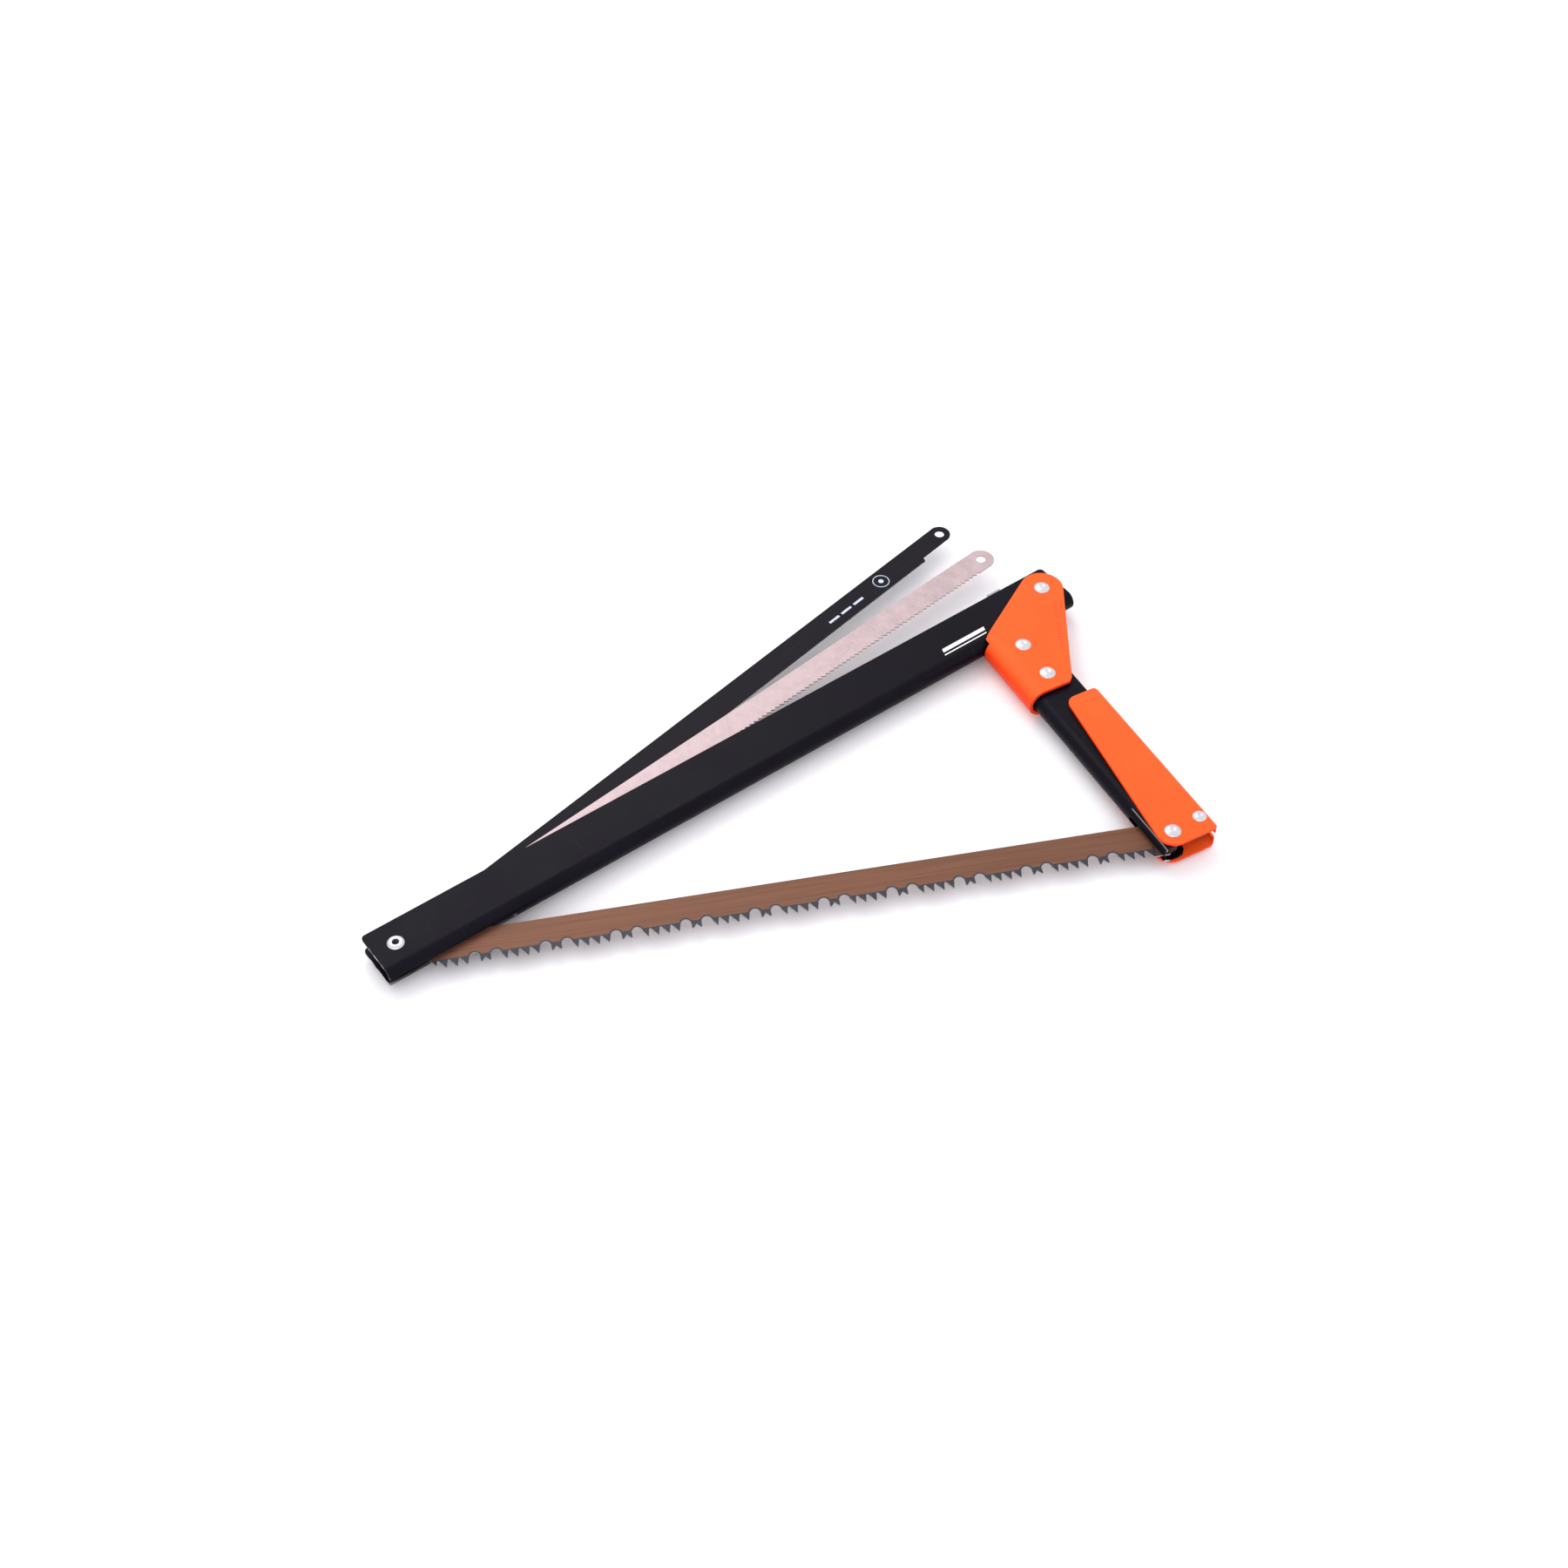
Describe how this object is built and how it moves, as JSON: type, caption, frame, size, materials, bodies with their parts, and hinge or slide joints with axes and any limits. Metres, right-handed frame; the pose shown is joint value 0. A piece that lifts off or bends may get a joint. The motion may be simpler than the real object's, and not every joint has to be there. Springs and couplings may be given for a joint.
{
  "type": "folding triangular saw",
  "caption": "Folding triangular frame saw: channel-section arm and grip on a riveted knee bracket, over-centre lever, and wood, bone and metal blades that fold into the arm.",
  "frame": {"origin": "axis of the front pin, halfway through the long arm's thickness", "axes": "+X along the long arm to the knee, +Y to the long arm's open back edge, +Z along the pin, up as the saw lies on its side"},
  "size_m": [0.4613, 0.2796, 0.0214],
  "materials": {
    "black_paint": "satin",
    "orange_paint": "satin",
    "rivet_zinc": "satin",
    "washer_steel": "satin",
    "bronze_steel": "satin",
    "bright_blade": "brushed",
    "black_blade": "satin"
  },
  "bodies": {
    "frame": {"long_arm": "black_paint", "front_pin": "rivet_zinc", "front_bush_upper": "washer_steel", "front_bush_lower": "washer_steel", "blade_washer_upper": "washer_steel", "blade_washer_lower": "washer_steel", "blade_clip": "washer_steel"},
    "grip": {"short_arm": "black_paint", "knee_bracket": "orange_paint", "knee_rivet_top": "rivet_zinc", "knee_rivet_bottom": "rivet_zinc", "knee_washers": "washer_steel", "bracket_rivet_upper": "rivet_zinc", "bracket_rivet_lower": "rivet_zinc", "spacer_tube_upper": "washer_steel", "spacer_tube_lower": "washer_steel", "bracket_washers": "washer_steel", "lever_rivet_top": "rivet_zinc", "lever_rivet_bottom": "rivet_zinc"},
    "lever": {"tension_lever": "orange_paint", "hook_stud": "rivet_zinc"},
    "wood_blade": {"wood_blade": "bronze_steel"},
    "bone_blade": {"bone_blade": "bright_blade"},
    "metal_blade": {"metal_blade": "black_blade"}
  },
  "joints": [
    {"name": "knee_fold", "type": "hinge", "parent": "frame", "child": "grip", "pos_m": [0.4355, -0.0015, 0], "axis": [0, 0, 1], "range_deg": [0, 276.5]},
    {"name": "lever_flip", "type": "hinge", "parent": "grip", "child": "lever", "pos_m": [0.36991, -0.18339, 0], "axis": [0, 0, 1], "range_deg": [-180, 0]},
    {"name": "wood_blade_swing", "type": "hinge", "parent": "frame", "child": "wood_blade", "pos_m": [0, 0, 0], "axis": [0, 0, 1], "range_deg": [-334, 0]},
    {"name": "bone_blade_swing", "type": "hinge", "parent": "frame", "child": "bone_blade", "pos_m": [0, 0, 0], "axis": [0, 0, 1], "range_deg": [-5.5, 0]},
    {"name": "metal_blade_swing", "type": "hinge", "parent": "frame", "child": "metal_blade", "pos_m": [0, 0, 0], "axis": [0, 0, 1], "range_deg": [-10, 0]}
  ],
  "couplings": [
    {"joint": "bone_blade_swing", "follows": "knee_fold", "ratio": -0.01953},
    {"joint": "metal_blade_swing", "follows": "knee_fold", "ratio": -0.035805}
  ]
}
